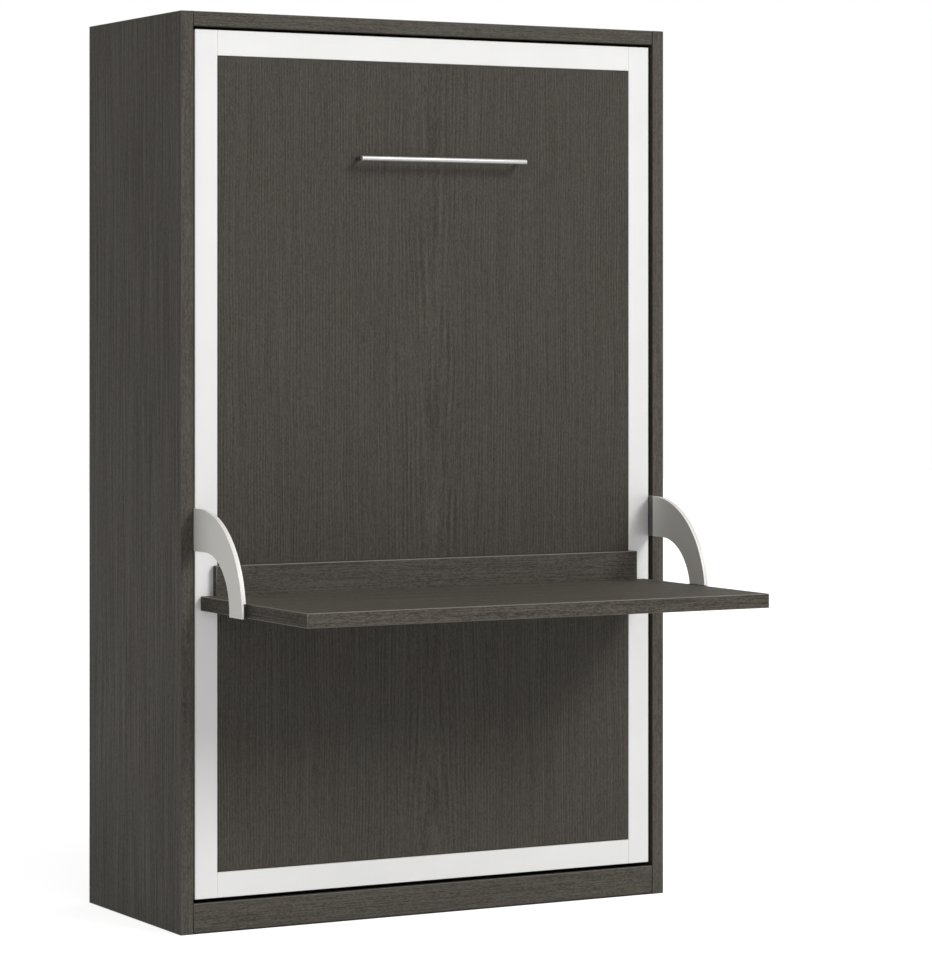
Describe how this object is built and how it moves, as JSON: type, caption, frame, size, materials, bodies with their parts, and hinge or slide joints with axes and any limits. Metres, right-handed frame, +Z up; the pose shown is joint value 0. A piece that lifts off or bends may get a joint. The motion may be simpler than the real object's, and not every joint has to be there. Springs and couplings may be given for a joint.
{
  "type": "wall bed with fold down desk",
  "caption": "Upright wall bed in a dark woodgrain cabinet, with a desk on two white crescent arms that stays level while the bed folds down.",
  "frame": {"origin": "on the floor at mid-width, in the plane of the cabinet's front edges", "axes": "+X to the right seen from the front, +Y from the front to the wall, +Z up"},
  "size_m": [1.322, 1.112, 2.16],
  "materials": {
    "dark_wood": "satin woodgrain laminate",
    "white_lacquer": "satin white laminate",
    "white_steel": "white powder coat",
    "arm_facing": "satin white",
    "dark_steel": "dark powder coat",
    "zinc_steel": "zinc plated",
    "handle_steel": "satin steel",
    "rubber": "matt",
    "bush_plastic": "natural acetal",
    "slat_wood": "birch, clear lacquer",
    "batten_wood": "pine, planed",
    "ticking": "quilted knitted ticking",
    "webbing": "woven webbing",
    "holder_plastic": "moulded",
    "rod_chrome": "hard chrome"
  },
  "bodies": {
    "cabinet": {"side_panel_left": "dark_wood", "side_panel_right": "dark_wood", "top_panel": "dark_wood", "plinth": "dark_wood", "back_panel": "dark_wood", "rear_top_rail": "dark_wood", "rear_base_rail": "dark_wood", "corner_brackets": "zinc_steel", "bracket_screws": "zinc_steel", "pivot_plate_left": "dark_steel", "pivot_plate_right": "dark_steel", "plate_screws": "zinc_steel", "bed_axle_left": "zinc_steel", "bed_axle_right": "zinc_steel", "link_studs": "zinc_steel", "strut_studs": "zinc_steel", "closing_stops": "rubber"},
    "bed": {"face_stile_left": "white_lacquer", "face_stile_right": "white_lacquer", "face_rail_top": "white_lacquer", "face_rail_bottom": "white_lacquer", "face_panel": "dark_wood", "bed_rail_left": "white_lacquer", "bed_rail_right": "white_lacquer", "head_board": "white_lacquer", "foot_board": "white_lacquer", "cross_bearers": "dark_steel", "slat_battens": "batten_wood", "slats": "slat_wood", "slat_holders": "holder_plastic", "mattress": "ticking", "mattress_straps": "webbing", "handle_bar": "handle_steel", "handle_posts": "handle_steel", "hinge_plate_left": "dark_steel", "hinge_plate_right": "dark_steel", "axle_bushes": "bush_plastic", "arm_studs": "zinc_steel", "leg_studs": "zinc_steel"},
    "desk": {"desk_top": "dark_wood", "desk_upstand": "dark_wood", "arm_plate_left": "white_steel", "arm_plate_right": "white_steel", "arm_cheek_left": "arm_facing", "arm_cheek_right": "arm_facing", "desk_end_blocks": "dark_wood", "desk_bolts": "zinc_steel", "link_pins": "zinc_steel"},
    "link_left": {"levelling_link_left": "dark_steel"},
    "link_right": {"levelling_link_right": "dark_steel"},
    "leg_left": {"leg_left": "dark_steel", "leg_foot_left": "rubber"},
    "leg_right": {"leg_right": "dark_steel", "leg_foot_right": "rubber"},
    "strut_left": {"strut_cylinder_left": "dark_steel"},
    "strut_right": {"strut_cylinder_right": "dark_steel"},
    "rod_left": {"strut_rod_left": "rod_chrome"},
    "rod_right": {"strut_rod_right": "rod_chrome"}
  },
  "joints": [
    {"name": "bed_tilt", "type": "hinge", "parent": "cabinet", "child": "bed", "pos_m": [0, 0.13, 0.405], "axis": [1, 0, 0], "range_deg": [0, 90]},
    {"name": "desk_level", "type": "hinge", "parent": "bed", "child": "desk", "pos_m": [0, 0.05, 1.05], "axis": [1, 0, 0], "range_deg": [-90, 0]},
    {"name": "link_left_turn", "type": "hinge", "parent": "cabinet", "child": "link_left", "pos_m": [-0.6145, 0.175, 0.461], "axis": [1, 0, 0], "range_deg": [0, 90]},
    {"name": "leg_left_hang", "type": "hinge", "parent": "bed", "child": "leg_left", "pos_m": [-0.6248, 0.1, 1.9], "axis": [1, 0, 0], "range_deg": [-90, 0]},
    {"name": "strut_left_swing", "type": "hinge", "parent": "cabinet", "child": "strut_left", "pos_m": [-0.6175, 0.43, 0.89], "axis": [1, 0, 0], "range_deg": [0, 3.6]},
    {"name": "rod_left_slide", "type": "slide", "parent": "strut_left", "child": "rod_left", "axis": [0, 0.3417, 0.9398], "range_m": [0, 0.25933]},
    {"name": "link_right_turn", "type": "hinge", "parent": "cabinet", "child": "link_right", "pos_m": [0.6145, 0.175, 0.461], "axis": [1, 0, 0], "range_deg": [0, 90]},
    {"name": "leg_right_hang", "type": "hinge", "parent": "bed", "child": "leg_right", "pos_m": [0.6248, 0.1, 1.9], "axis": [1, 0, 0], "range_deg": [-90, 0]},
    {"name": "strut_right_swing", "type": "hinge", "parent": "cabinet", "child": "strut_right", "pos_m": [0.6175, 0.43, 0.89], "axis": [1, 0, 0], "range_deg": [0, 3.6]},
    {"name": "rod_right_slide", "type": "slide", "parent": "strut_right", "child": "rod_right", "axis": [0, 0.3417, 0.9398], "range_m": [0, 0.25933]}
  ],
  "couplings": [
    {"joint": "desk_level", "follows": "bed_tilt", "ratio": -1},
    {"joint": "link_left_turn", "follows": "bed_tilt", "ratio": 1},
    {"joint": "leg_left_hang", "follows": "bed_tilt", "ratio": -1},
    {"joint": "strut_left_swing", "follows": "bed_tilt", "ratio": 0.039929},
    {"joint": "rod_left_slide", "follows": "bed_tilt", "m_per_rad": 0.16506},
    {"joint": "link_right_turn", "follows": "bed_tilt", "ratio": 1},
    {"joint": "leg_right_hang", "follows": "bed_tilt", "ratio": -1},
    {"joint": "strut_right_swing", "follows": "bed_tilt", "ratio": 0.039929},
    {"joint": "rod_right_slide", "follows": "bed_tilt", "m_per_rad": 0.16506}
  ]
}
